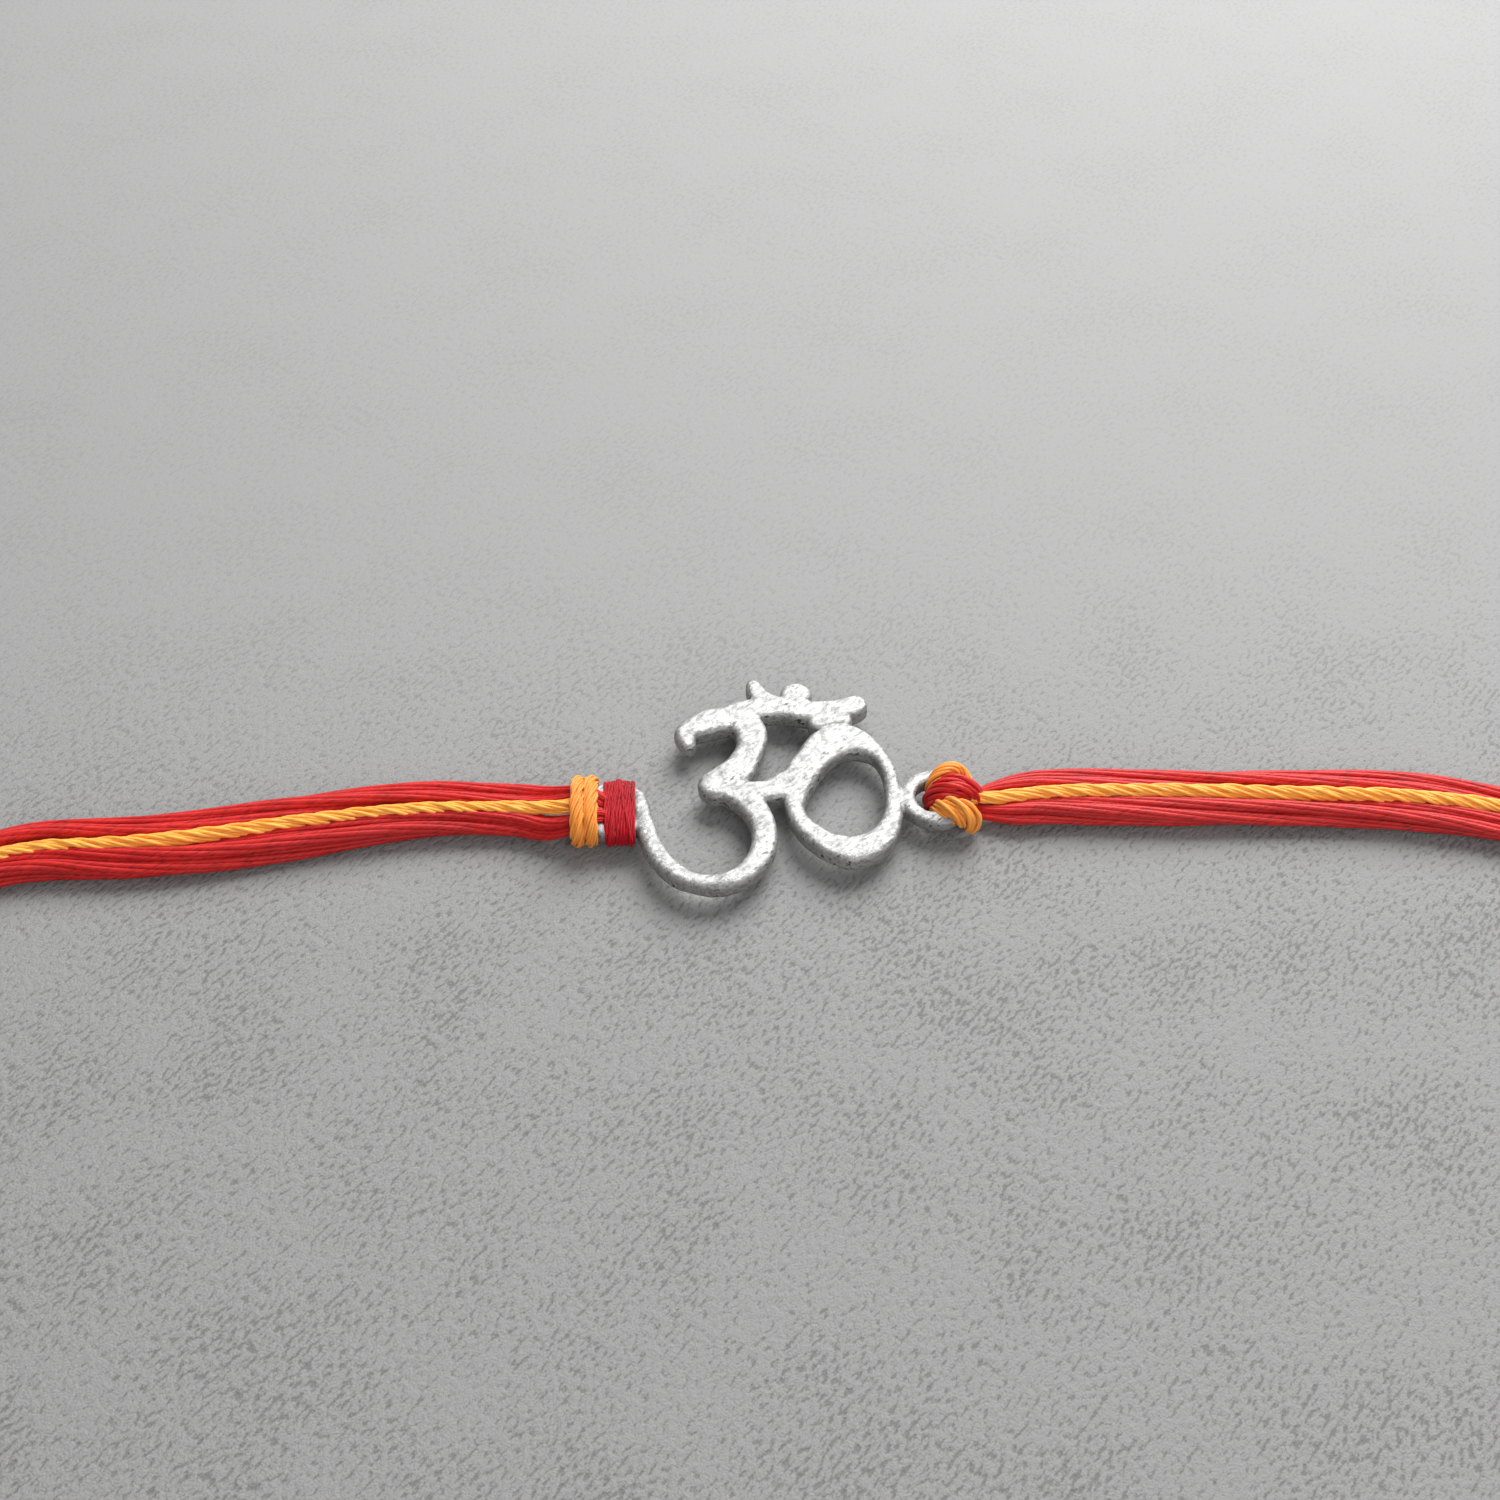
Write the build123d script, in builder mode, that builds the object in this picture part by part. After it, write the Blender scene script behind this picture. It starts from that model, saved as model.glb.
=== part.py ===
from build123d import *
from math import asin, cos, degrees, pi, radians, sin, sqrt, tan
import os

os.makedirs("parts", exist_ok=True)

# A thread bracelet with a cast om charm, lying on a surface at z = 0. Sizes are in
# millimetres. +X runs along the charm from its left ring to its right ring, +Y towards
# the top of the om, and +Z up. The origin is on the surface, midway along the charm.

# Cast charm
om_width = 18.5
om_height = 19.3
om_thickness = 1.3
om_rounding = 0.4
stroke_width = 1.7
ring_line_share = 0.39    # height of the ring line on the om, as a share of its height
charm_lift = 0.85         # underside of the om above the surface
ring_bore = 2.95
ring_wire = 0.97
ring_thickness = 1.05
ring_rounding = 0.25
left_ring_overlap = 1.2   # the om's tail closes the left ring
right_ring_overlap = 0.08
neck_width = 1.4
corner_share = 0.48       # share of each side of a stroke's outline that its corners round

# Threads
red_thread = 1.8
red_apart = 0.9           # between the two red threads, where the orange one lies
orange_thread = 0.9
thread_gap = 0.06
ring_gap = 0.1            # threads stand this far off the metal
hitch_width = 1.0         # threads are squeezed flat over the left ring
hitch_height = 0.75
hole_thread = 0.66        # and thinner in a ring's hole
tail_start_thread = 0.92  # and this is where they leave the right ring
tail_start_lift = 0.28    # underside of the outer two there, above the surface
left_taper_run = 6.7      # from the left ring's centre to where the threads are full size
right_taper_run = 7.9     # and the same at the right ring
loop_half_width = 62.0    # from the middle of the charm to the loop's sides

# Bands over the left ring
red_band_wall = 0.34
red_band_width = 1.7
red_band_place = 0.42     # centre of the band, from the ring's centre towards the om
orange_band_wall = 0.5
orange_band_width = 1.85
orange_band_place = 2.02  # centre of the band, from the ring's centre away from the om
band_rounding = 0.15
floor_gap = 0.05

# Legs of the hitch at the right ring
orange_leg_width = 1.15
red_leg_width = 1.65
leg_height = 0.9
leg_fan = 50              # degrees from the middle leg to each side leg

# Closing knot and tails, in front of the charm
knot_length = 6.8
knot_diameter = 5.6
knot_turns = 3
knot_bulge = 0.5
knot_distance = 70.0
tail_thread = 1.8
tail_spread = 1.25        # from the middle of the knot to each tail
tail_reach = 20.0         # how far in front of the knot the left tail ends

# Heights and places that follow
om_middle = charm_lift + om_thickness / 2
ring_bottom = om_middle - ring_thickness / 2
ring_top = om_middle + ring_thickness / 2
ring_inner = ring_bore / 2
ring_outer = ring_inner + ring_wire
ring_mean = ring_inner + ring_wire / 2
left_ring_x = -(om_width / 2 + ring_outer - left_ring_overlap)
right_ring_x = om_width / 2 + ring_outer - right_ring_overlap
thread_pitch = red_thread + red_apart
red_height = red_thread / 2
thread_contact = (red_thread + orange_thread) / 2 + thread_gap
orange_height = red_height + sqrt(max(0, thread_contact**2 - (thread_pitch / 2) ** 2))

# Strokes of the om: along and up are shares of its width and height, from its lower
# left corner, and width is a share of the stroke width
upper_arm = [
    # along, up, width
    (0.218, 0.694, 0.62),
    (0.198, 0.745, 1.04),
    (0.255, 0.785, 1.24),
    (0.338, 0.818, 1.42),
    (0.425, 0.815, 1.50),
    (0.470, 0.735, 1.42),
    (0.447, 0.642, 1.10),
    (0.405, 0.556, 1.40),
    (0.319, 0.492, 1.53),
]
lower_bowl = [
    # along, up, width
    (0.345, 0.482, 1.12),
    (0.435, 0.409, 1.12),
    (0.481, 0.316, 1.03),
    (0.484, 0.212, 1.00),
    (0.449, 0.119, 0.98),
    (0.373, 0.052, 0.86),
    (0.278, 0.031, 0.74),
    (0.186, 0.059, 0.75),
    (0.111, 0.133, 0.81),
    (0.065, 0.233, 0.78),
    (0.038, 0.347, 0.70),
    (0.026, 0.446, 0.56),
]
link = [
    # along, up, width
    (0.381, 0.455, 1.03),
    (0.490, 0.447, 1.02),
    (0.560, 0.468, 1.35),
    (0.615, 0.492, 1.45),
]
crescent = [
    # along, up, width
    (0.479, 0.986, 0.47),
    (0.495, 0.932, 0.85),
    (0.541, 0.876, 1.18),
    (0.624, 0.848, 0.98),
    (0.711, 0.837, 1.12),
    (0.792, 0.838, 1.15),
    (0.862, 0.859, 1.12),
]
shoulder = [
    # along, up, width
    (0.400, 0.850, 0.95),
    (0.470, 0.862, 1.15),
    (0.560, 0.860, 1.00),
]
saddle = [
    # along, up, width
    (0.715, 0.780, 0.75),
    (0.760, 0.785, 0.84),
    (0.812, 0.785, 0.80),
]
loop_outside = [
    # along, up
    (0.562, 0.420),
    (0.573, 0.326),
    (0.610, 0.240),
    (0.697, 0.145),
    (0.814, 0.102),
    (0.922, 0.152),
    (0.984, 0.264),
    (1.000, 0.425),
    (0.976, 0.585),
    (0.905, 0.710),
    (0.803, 0.762),
    (0.700, 0.725),
    (0.627, 0.632),
    (0.573, 0.534),
]
loop_inside = [
    # along, up
    (0.638, 0.378),
    (0.678, 0.477),
    (0.743, 0.565),
    (0.830, 0.617),
    (0.900, 0.601),
    (0.941, 0.503),
    (0.941, 0.389),
    (0.911, 0.285),
    (0.846, 0.226),
    (0.759, 0.223),
    (0.678, 0.280),
]
dot_along = 0.643
dot_up = 0.925
dot_width = 1.35          # as a share of the stroke width

# Middle line of the threads, seen from above, from the charm round to the knot: along is a
# share of the loop's half width and down a share of the knot's distance
left_bends = [
    # along, down
    (-0.387, -0.022),
    (-0.524, -0.008),
    (-0.677, 0.014),
    (-0.831, 0.010),
    (-0.943, 0.072),
    (-1.000, 0.207),
    (-1.000, 0.386),
    (-0.927, 0.571),
    (-0.798, 0.736),
    (-0.597, 0.890),
    (-0.323, 1.000),
]
right_bends = [
    # along, down
    (0.444, 0.002),
    (0.597, 0.009),
    (0.742, 0.020),
    (0.880, 0.060),
    (0.977, 0.200),
    (0.992, 0.371),
    (0.927, 0.557),
    (0.798, 0.729),
    (0.605, 0.879),
    (0.331, 1.000),
]
# Bends of the tails, from where they leave the knot, as shares of the tails' reach
left_tail_bends = [
    # along, down
    (-0.042, 0.342),
    (-0.197, 0.717),
    (-0.497, 1.007),
]
right_tail_bends = [
    # along, down
    (0.022, 0.367),
    (0.152, 0.787),
    (0.367, 1.137),
]
left_start_up = 0.95      # middle of the threads, above the ring line, where they start
right_start_up = 0.42

# Where a thread goes over a ring's wire. Turn is the angle round the wire, 180 in the
# hole and 0 outside it, and the shares run from the hole's size to the full size
over_wire = [
    # turn, width, height
    (180, 0.0, 0.0),
    (155, 0.1, 0.1),
    (125, 0.5, 0.4),
    (95, 1.0, 1.0),
    (68, 1.0, 1.0),
    (42, 1.0, 1.0),
]
round_wire = [
    # turn, width, height
    (180, 0.0, 0.0),
    (135, 0.35, 0.4),
    (90, 1.0, 1.0),
    (45, 1.0, 1.0),
    (0, 1.0, 0.9),
]
# How the threads swell from a hitch to the start of their route
taper = [
    # along, grown, raised
    (0.28, 0.22, 1.0),
    (0.65, 0.62, 0.9),
]
taper_raise = 0.15        # the middle thread stands this much higher there


def charm_point(along, up):
    return (om_width * (along - 0.5), om_height * (up - ring_line_share))


def rounded_outline(corners):
    """Draws a closed outline of short straights and arcs, each corner as round as it can be."""
    radii = []
    for i, corner in enumerate(corners):
        before = corner - corners[i - 1]
        after = corners[(i + 1) % len(corners)] - corner
        room = corner_share * min(before.length, after.length)
        radii.append(room / tan(radians(before.get_angle(after)) / 2))
    with BuildLine() as outline:
        FilletPolyline(*corners, radius=radii, close=True)
    make_face(outline.edges())


def stroke_outline(rows):
    """Draws one stroke of the om, with a round end at each end of its middle line."""
    middle = [Vector(*charm_point(along, up)) for along, up, _ in rows]
    half = [stroke_width * width / 2 for _, _, width in rows]
    last = len(rows) - 1
    heading = [
        (middle[min(i + 1, last)] - middle[max(i - 1, 0)]).normalized() for i in range(last + 1)
    ]
    normal = [direction.rotate(Axis.Z, 90) for direction in heading]
    one_side = [middle[i] + normal[i] * half[i] for i in range(1, last)]
    other_side = [middle[i] - normal[i] * half[i] for i in range(last - 1, 0, -1)]
    tip = middle[last] + heading[last] * half[last]
    tail = middle[0] - heading[0] * half[0]
    tip_corners = [tip + normal[last] * half[last], tip - normal[last] * half[last]]
    tail_corners = [tail - normal[0] * half[0], tail + normal[0] * half[0]]
    rounded_outline(one_side + tip_corners + other_side + tail_corners)


def route_turns(points):
    """Direction of each run, the signed turn at each inner point and its arc's radius."""
    places = [Vector(x, y) for x, y in points]
    runs = [after - before for before, after in zip(places, places[1:])]
    turns = []
    radii = []
    for before, after in zip(runs, runs[1:]):
        turn = radians(before.get_signed_angle(after, Vector(0, 0, 1)))
        turns.append(turn)
        radii.append(0.45 * min(before.length, after.length) / tan(abs(turn) / 2))
    return places, [run.normalized() for run in runs], turns, radii


def beside_route(points, aside):
    """The route moved sideways to its left, with arcs on the same centres."""
    places, headings, turns, radii = route_turns(points)
    sides = [heading.rotate(Axis.Z, 90) for heading in headings]
    moved = [places[0] + sides[0] * aside]
    for i, turn in enumerate(turns):
        across = (sides[i] + sides[i + 1]).normalized()
        moved.append(places[i + 1] + across * (aside / cos(turn / 2)))
    moved.append(places[-1] + sides[-1] * aside)
    beside = [radius - aside * (1 if turn > 0 else -1) for radius, turn in zip(radii, turns)]
    return moved, beside


def lie_thread(points, aside, height, diameter):
    """Sweeps one round thread along the route and gives back its path's length and radii."""
    moved, radii = beside_route(points, aside)
    with BuildLine() as path:
        FilletPolyline(*[(place.X, place.Y, height) for place in moved], radius=radii)
    start = (moved[0].X, moved[0].Y, height)
    heading = moved[1] - moved[0]
    across = heading.rotate(Axis.Z, 90)
    with BuildSketch(Plane(origin=start, x_dir=across, z_dir=heading)) as section:
        Circle(diameter / 2)
    sweep(section.sketch, path=path.line)
    return sum(edge.length for edge in path.edges()), radii


def route_start(points, aside, height):
    """Start of a thread beside the route, and the direction in which it comes to it."""
    moved, _ = beside_route(points, aside)
    return Vector(moved[0].X, moved[0].Y, height), (moved[1] - moved[0]).normalized()


def loft_thread(rows, side, first_heading=None, last_heading=None, ruled=False):
    """Lofts a thread of changing section through rows of place, width and height."""
    places = [place for place, _, _ in rows]
    last = len(rows) - 1
    sections = []
    for i, (place, wide, high) in enumerate(rows):
        heading = places[min(i + 1, last)] - places[max(i - 1, 0)]
        if i == 0 and first_heading is not None:
            heading = first_heading
        if i == last and last_heading is not None:
            heading = last_heading
        across = side - heading * (side.dot(heading) / heading.dot(heading))
        with BuildSketch(Plane(origin=place, x_dir=across, z_dir=heading)) as section:
            if wide == high:
                Circle(wide / 2)
            else:
                Ellipse(wide / 2, high / 2)
        sections.append(section.sketch)
    loft(sections, ruled=ruled)


def wire_reach(turn, high):
    """From the middle of a ring's wire to the middle of a thread lying on it."""
    flat_out = (ring_wire / 2 - ring_rounding) * abs(cos(radians(turn)))
    flat_up = (ring_thickness / 2 - ring_rounding) * abs(sin(radians(turn)))
    return flat_out + flat_up + ring_rounding + ring_gap + high / 2


def wire_rows(table, ring_x, outward, side, fan, wide, high, beside):
    """Rows of a thread that comes up out of a ring's hole and lies over its wire. A side
    thread keeps clear of a middle thread of width beside, and at least the fan from it."""
    rows = []
    for turn, width_share, height_share in table:
        width = hole_thread + (wide - hole_thread) * width_share
        height = hole_thread + (high - hole_thread) * height_share
        middle_width = hole_thread + (beside - hole_thread) * width_share
        reach = wire_reach(turn, height)
        radial = ring_mean + reach * cos(radians(turn))
        needed = (width + middle_width) / 2 + 2 * thread_gap
        polar = side * radians(max(fan, degrees(asin(min(1, needed / radial)))))
        place = Vector(
            ring_x + outward * radial * cos(polar),
            radial * sin(polar),
            om_middle + reach * sin(radians(turn)),
        )
        rows.append((place, width, height))
    return rows


def taper_rows(from_row, to_place, to_size, lift):
    """Rows between a squeezed section and the start of a thread's route."""
    place, wide, high = from_row
    rows = []
    for along, grown, raised in taper:
        flat = place + (to_place - place) * along
        height = place.Z + (to_place.Z - place.Z) * grown + lift * raised
        new_wide = wide + (to_size - wide) * grown
        new_high = high + (to_size - high) * grown
        rows.append((Vector(flat.X, flat.Y, height), new_wide, new_high))
    return rows


def joint_rows(start, heading, size):
    """The last two rows, which end a little inside the thread's round tube."""
    inside = start + heading * (size * 0.35)
    return [(start, size * 0.97, size * 0.97), (inside, size * 0.9, size * 0.9)]


# Om charm: every stroke, the crescent, the dot and both rings are one casting
pieces = []
for rows in (upper_arm, lower_bowl, link, crescent, shoulder, saddle):
    with BuildPart() as stroke:
        with BuildSketch(Plane.XY.offset(charm_lift)):
            stroke_outline(rows)
        extrude(amount=om_thickness)
        narrowest = min(width for _, _, width in rows) * stroke_width
        rims = stroke.edges().group_by(Axis.Z)
        fillet(rims[0] + rims[-1], min(om_rounding, 0.42 * narrowest))
    pieces.append(stroke.part)

with BuildPart() as loop:
    with BuildSketch(Plane.XY.offset(charm_lift)):
        with BuildLine():
            Spline(*[charm_point(*row) for row in loop_outside], periodic=True)
        make_face()
        with BuildLine():
            Spline(*[charm_point(*row) for row in loop_inside], periodic=True)
        make_face(mode=Mode.SUBTRACT)
    extrude(amount=om_thickness)
    rims = loop.edges().group_by(Axis.Z)
    fillet(rims[0] + rims[-1], om_rounding)
pieces.append(loop.part)

with BuildPart() as dot:
    with BuildSketch(Plane.XY.offset(charm_lift)):
        with Locations(charm_point(dot_along, dot_up)):
            Circle(stroke_width * dot_width / 2)
    extrude(amount=om_thickness)
    rims = dot.edges().group_by(Axis.Z)
    fillet(rims[0] + rims[-1], om_rounding)
pieces.append(dot.part)

for ring_x in (left_ring_x, right_ring_x):
    with BuildPart() as ring:
        with BuildSketch(Plane.XY.offset(ring_bottom)):
            with Locations((ring_x, 0)):
                Circle(ring_outer)
                Circle(ring_inner, mode=Mode.SUBTRACT)
        extrude(amount=ring_thickness)
        rims = ring.edges().filter_by(GeomType.CIRCLE).group_by(Axis.Z)
        fillet(rims[0] + rims[-1], ring_rounding)
    pieces.append(ring.part)

with BuildPart() as neck:
    neck_from = om_width / 2 - stroke_width / 3
    neck_to = right_ring_x - ring_mean
    with BuildSketch(Plane.XY.offset(ring_bottom)):
        with Locations(((neck_from + neck_to) / 2, 0)):
            Rectangle(neck_to - neck_from, neck_width)
    extrude(amount=ring_thickness)
    fillet(neck.edges().filter_by(Axis.X), ring_rounding)
pieces.append(neck.part)

with BuildPart() as om_charm:
    for piece in pieces:
        add(piece)
om_charm.part.label = "om_charm"
export_step(om_charm.part, "parts/om_charm.step")


# Red band: one thread's filaments wound flat round both arms of the left ring
with BuildPart() as left_red_band:
    band_from = left_ring_x + red_band_place - red_band_width / 2
    inner_half = ring_outer + ring_gap
    inner_high = ring_thickness / 2 + ring_gap
    with BuildSketch(Plane(origin=(band_from, 0, om_middle), x_dir=(0, 1, 0), z_dir=(1, 0, 0))):
        RectangleRounded(
            2 * (inner_half + red_band_wall),
            2 * (inner_high + red_band_wall),
            inner_high * 0.5 + red_band_wall,
        )
        RectangleRounded(2 * inner_half, 2 * inner_high, inner_high * 0.5, mode=Mode.SUBTRACT)
    extrude(amount=red_band_width)
    rims = left_red_band.edges().group_by(Axis.X)
    fillet(rims[0] + rims[-1], min(band_rounding, red_band_wall * 0.4))
left_red_band.part.label = "left_red_band"
export_step(left_red_band.part, "parts/left_red_band.step")

# Orange band: the bight that crosses over the threads and closes under them
with BuildPart() as left_orange_band:
    band_from = left_ring_x - orange_band_place - orange_band_width / 2
    band_inside = orange_band_place - orange_band_width / 2
    ring_half = sqrt(max(0, ring_outer**2 - band_inside**2))
    inner_half = max(ring_half, 1.5 * hitch_width + 2 * thread_gap) + ring_gap
    inner_top = ring_top + ring_gap + hitch_height + thread_gap
    inner_bottom = floor_gap + orange_band_wall
    inner_high = inner_top - inner_bottom
    for grow, mode in ((orange_band_wall, Mode.ADD), (0, Mode.SUBTRACT)):
        face_plane = Plane(origin=(band_from, 0, 0), x_dir=(0, 1, 0), z_dir=(1, 0, 0))
        with BuildSketch(face_plane) as band_face:
            with Locations((0, (inner_top + inner_bottom) / 2)):
                Rectangle(2 * (inner_half + grow), inner_high + 2 * grow)
            corners = band_face.vertices().group_by(Axis.Y)
            fillet(corners[-1], 0.49 * inner_high + grow)
            fillet(band_face.vertices().group_by(Axis.Y)[0], 0.2 * inner_high + grow)
        extrude(amount=orange_band_width, mode=mode)
    rims = left_orange_band.edges().group_by(Axis.X)
    fillet(rims[0] + rims[-1], min(band_rounding, orange_band_wall * 0.4))
left_orange_band.part.label = "left_orange_band"
export_step(left_orange_band.part, "parts/left_orange_band.step")

# The three threads of each side: over the left ring's wire, out of the right hitch, and
# round to the knot
left_route = [(left_ring_x - left_taper_run, left_start_up)]
left_route += [(loop_half_width * along, -knot_distance * down) for along, down in left_bends]
left_route += [(-knot_length / 2 - thread_gap, -knot_distance)]
right_route = [(right_ring_x + right_taper_run, right_start_up)]
right_route += [(loop_half_width * along, -knot_distance * down) for along, down in right_bends]
right_route += [(knot_length / 2 + thread_gap, -knot_distance)]
threads = [
    # name, side, height, diameter
    ("back", 1, red_height, red_thread),
    ("middle", 0, orange_height, orange_thread),
    ("front", -1, red_height, red_thread),
]
tail_start_x = right_ring_x + ring_mean + wire_reach(0, leg_height) + leg_height / 2 + thread_gap
for name, side, height, diameter in threads:
    aside = -side * thread_pitch / 2
    lift = 0 if side else taper_raise
    start, heading = route_start(left_route, aside, height)
    with BuildPart() as left_strand:
        length, radii = lie_thread(left_route, aside, height, diameter)
        hitch_rows = wire_rows(
            over_wire, left_ring_x, -1, side, 0, hitch_width, hitch_height, hitch_width
        )
        swell_rows = taper_rows(hitch_rows[-1], start, diameter, lift)
        rows = hitch_rows + swell_rows + joint_rows(start, heading, diameter)
        loft_thread(rows, Vector(0, 1, 0), last_heading=heading, ruled=True)
    left_strand.part.label = "left_" + name + "_strand"
    export_step(left_strand.part, "parts/left_" + name + "_strand.step")
    print("left", name, "path", round(length, 1), "radii", [round(r, 1) for r in radii])
    print("left", name, "whole", round(left_strand.part.volume, 1))
    print("left", name, "route", round(length * pi * diameter**2 / 4, 1))

    aside = side * thread_pitch / 2
    start, heading = route_start(right_route, aside, height)
    with BuildPart() as right_strand:
        length, radii = lie_thread(right_route, aside, height, diameter)
        first_aside = side * (tail_start_thread + thread_gap) / 2
        first_height = tail_start_lift + tail_start_thread / 2
        if side == 0:
            first_height += (tail_start_thread + thread_gap) * sqrt(0.75)
        first_row = (
            Vector(tail_start_x, first_aside, first_height), tail_start_thread, tail_start_thread
        )
        swell_rows = taper_rows(first_row, start, diameter, lift)
        rows = [first_row] + swell_rows + joint_rows(start, heading, diameter)
        loft_thread(rows, Vector(0, 1, 0), Vector(1, 0, 0), heading, ruled=True)
    right_strand.part.label = "right_" + name + "_strand"
    export_step(right_strand.part, "parts/right_" + name + "_strand.step")
    print("right", name, "path", round(length, 1), "radii", [round(r, 1) for r in radii])
    print("right", name, "whole", round(right_strand.part.volume, 1))
    print("right", name, "route", round(length * pi * diameter**2 / 4, 1))

# Legs of the right hitch: out of the ring's hole, over its outer side and down
legs = [
    # name, side, width, foot
    ("back", 1, orange_leg_width, leg_height / 2 + floor_gap),
    ("middle", 0, red_leg_width, om_middle),
    ("front", -1, orange_leg_width, leg_height / 2 + floor_gap),
]
for name, side, width, foot in legs:
    with BuildPart() as leg:
        fan = leg_fan * abs(side)
        rows = wire_rows(
            round_wire, right_ring_x, 1, side, fan, width, leg_height, red_leg_width
        )
        if foot < om_middle:
            outside, wide, high = rows[-1]
            rows.append((Vector(outside.X, outside.Y, foot), wide, high))
        polar = radians(side * leg_fan)
        loft_thread(rows, Vector(-sin(polar), cos(polar), 0), last_heading=Vector(0, 0, -1))
    leg.part.label = "right_" + name + "_leg"
    export_step(leg.part, "parts/right_" + name + "_leg.step")

# Closing knot: a short barrel of turns, lying on its side
with BuildPart() as closing_knot:
    knot_radius = knot_diameter / 2
    valley = knot_radius - knot_bulge
    turn_length = knot_length / knot_turns
    knot_plane = Plane(origin=(0, -knot_distance, knot_radius), x_dir=(1, 0, 0), z_dir=(0, -1, 0))
    with BuildSketch(knot_plane):
        with BuildLine():
            for i in range(knot_turns):
                turn_from = -knot_length / 2 + i * turn_length
                ThreePointArc(
                    (turn_from, valley),
                    (turn_from + turn_length / 2, knot_radius),
                    (turn_from + turn_length, valley),
                )
            Polyline(
                (knot_length / 2, valley),
                (knot_length / 2, 0),
                (-knot_length / 2, 0),
                (-knot_length / 2, valley),
            )
        make_face()
    revolve(axis=Axis(origin=(0, -knot_distance, knot_radius), direction=(1, 0, 0)))
closing_knot.part.label = "closing_knot"
export_step(closing_knot.part, "parts/closing_knot.step")

# Tails: the cut ends of the threads, in front of the knot
tail_from = -knot_distance - knot_diameter / 2 - thread_gap
for name, side, bends in (("left_tail", -1, left_tail_bends), ("right_tail", 1, right_tail_bends)):
    route = [(side * tail_spread, tail_from)]
    for along, down in bends:
        route.append((side * tail_spread + tail_reach * along, tail_from - tail_reach * down))
    with BuildPart() as tail:
        length, radii = lie_thread(route, 0, tail_thread / 2, tail_thread)
    tail.part.label = name
    export_step(tail.part, "parts/" + name + ".step")
    print(name, "path", round(length, 1), "radii", [round(r, 1) for r in radii])
    print(name, "whole", round(tail.part.volume, 1))
    print(name, "route", round(length * pi * tail_thread**2 / 4, 1))
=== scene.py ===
import math
import random

import bmesh
import bpy
import numpy as np
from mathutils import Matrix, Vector, noise


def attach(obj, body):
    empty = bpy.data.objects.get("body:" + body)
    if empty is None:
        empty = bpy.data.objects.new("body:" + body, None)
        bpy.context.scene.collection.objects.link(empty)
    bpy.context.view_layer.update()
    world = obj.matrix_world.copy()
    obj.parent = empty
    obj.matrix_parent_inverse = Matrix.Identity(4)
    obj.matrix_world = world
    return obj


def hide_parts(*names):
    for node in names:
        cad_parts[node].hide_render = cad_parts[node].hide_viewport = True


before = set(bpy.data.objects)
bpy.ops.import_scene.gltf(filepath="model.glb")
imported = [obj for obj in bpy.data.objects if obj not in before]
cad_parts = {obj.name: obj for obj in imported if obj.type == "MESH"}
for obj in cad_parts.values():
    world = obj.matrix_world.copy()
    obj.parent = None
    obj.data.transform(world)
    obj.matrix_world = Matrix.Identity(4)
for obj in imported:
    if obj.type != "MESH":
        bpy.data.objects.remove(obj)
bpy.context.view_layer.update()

MM = 0.001


# Camera, at the photograph's angle, in millimetres

CAMERA_LOOK = (-0.82, 6.87, 0.0)
CAMERA_EYE = (-6.12, -94.31, 106.77)
CAMERA_VIEW = 40          # degrees


def place_camera():
    camera = bpy.data.objects.new("camera", bpy.data.cameras.new("camera"))
    bpy.context.scene.collection.objects.link(camera)
    look = Vector(CAMERA_LOOK) * MM
    eye = Vector(CAMERA_EYE) * MM
    camera.data.angle = math.radians(CAMERA_VIEW)
    camera.data.clip_start = 0.002
    camera.location = eye
    camera.rotation_euler = (look - eye).to_track_quat("-Z", "Y").to_euler()
    bpy.context.scene.camera = camera


# Routes of the threads

ORANGE_THREAD = 1.12
RED_ASIDE = 1.26
RED_WIDTH = 2.45          # the soft bundles are pressed a little flat
RED_HIGH = 1.92
RED_HEIGHT = 1.045        # middle of the red threads, above the floor
ORANGE_HEIGHT = 1.68

# Middle line of the three threads, in metres, from the charm round to the knot
LEFT_ROUTE = [
    (-0.0172, 0.00095), (-0.0240, 0.00154), (-0.0325, 0.00056), (-0.0420, -0.00098),
    (-0.0515, -0.00070), (-0.0585, -0.00504), (-0.0620, -0.01449), (-0.0620, -0.02702),
    (-0.0575, -0.03997), (-0.0495, -0.05152), (-0.0370, -0.0623), (-0.0200, -0.0700),
    (-0.0085, -0.0700), (-0.0028, -0.0700),
]
RIGHT_ROUTE = [
    (0.0195, 0.00042), (0.0275, -0.00014), (0.0370, -0.00063), (0.0460, -0.00140),
    (0.0546, -0.00420), (0.0606, -0.0140), (0.0615, -0.02597), (0.0575, -0.03899),
    (0.0495, -0.05103), (0.0375, -0.06153), (0.0205, -0.0700), (0.0085, -0.0700),
    (0.0028, -0.0700),
]

# How the threads of the first points lie, as seen beside the charm: each thread's move
# towards the back, the orange one's lift and the front one's width
LEFT_LIE = [
    # back, orange, lift, front, front width
    (-0.10, -0.40, 0.05, 0.25, 2.10),
    (0.05, -0.70, 0.10, 0.05, 2.20),
    (0.15, -0.45, 0.00, -0.55, 2.75),
    (0.00, -0.30, 0.00, -0.35, 2.60),
    (0.10, -0.45, 0.00, 0.00, 2.45),
]
RIGHT_LIE = [
    # back, orange, lift, front, front width
    (0.00, -0.20, 0.00, 0.00, 2.35),
    (-0.05, 0.05, 0.05, 0.00, 2.45),
    (0.05, -0.22, 0.00, 0.00, 2.40),
    (0.10, -0.20, 0.00, -0.20, 2.50),
    (0.00, 0.10, 0.00, 0.00, 2.45),
]

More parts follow.
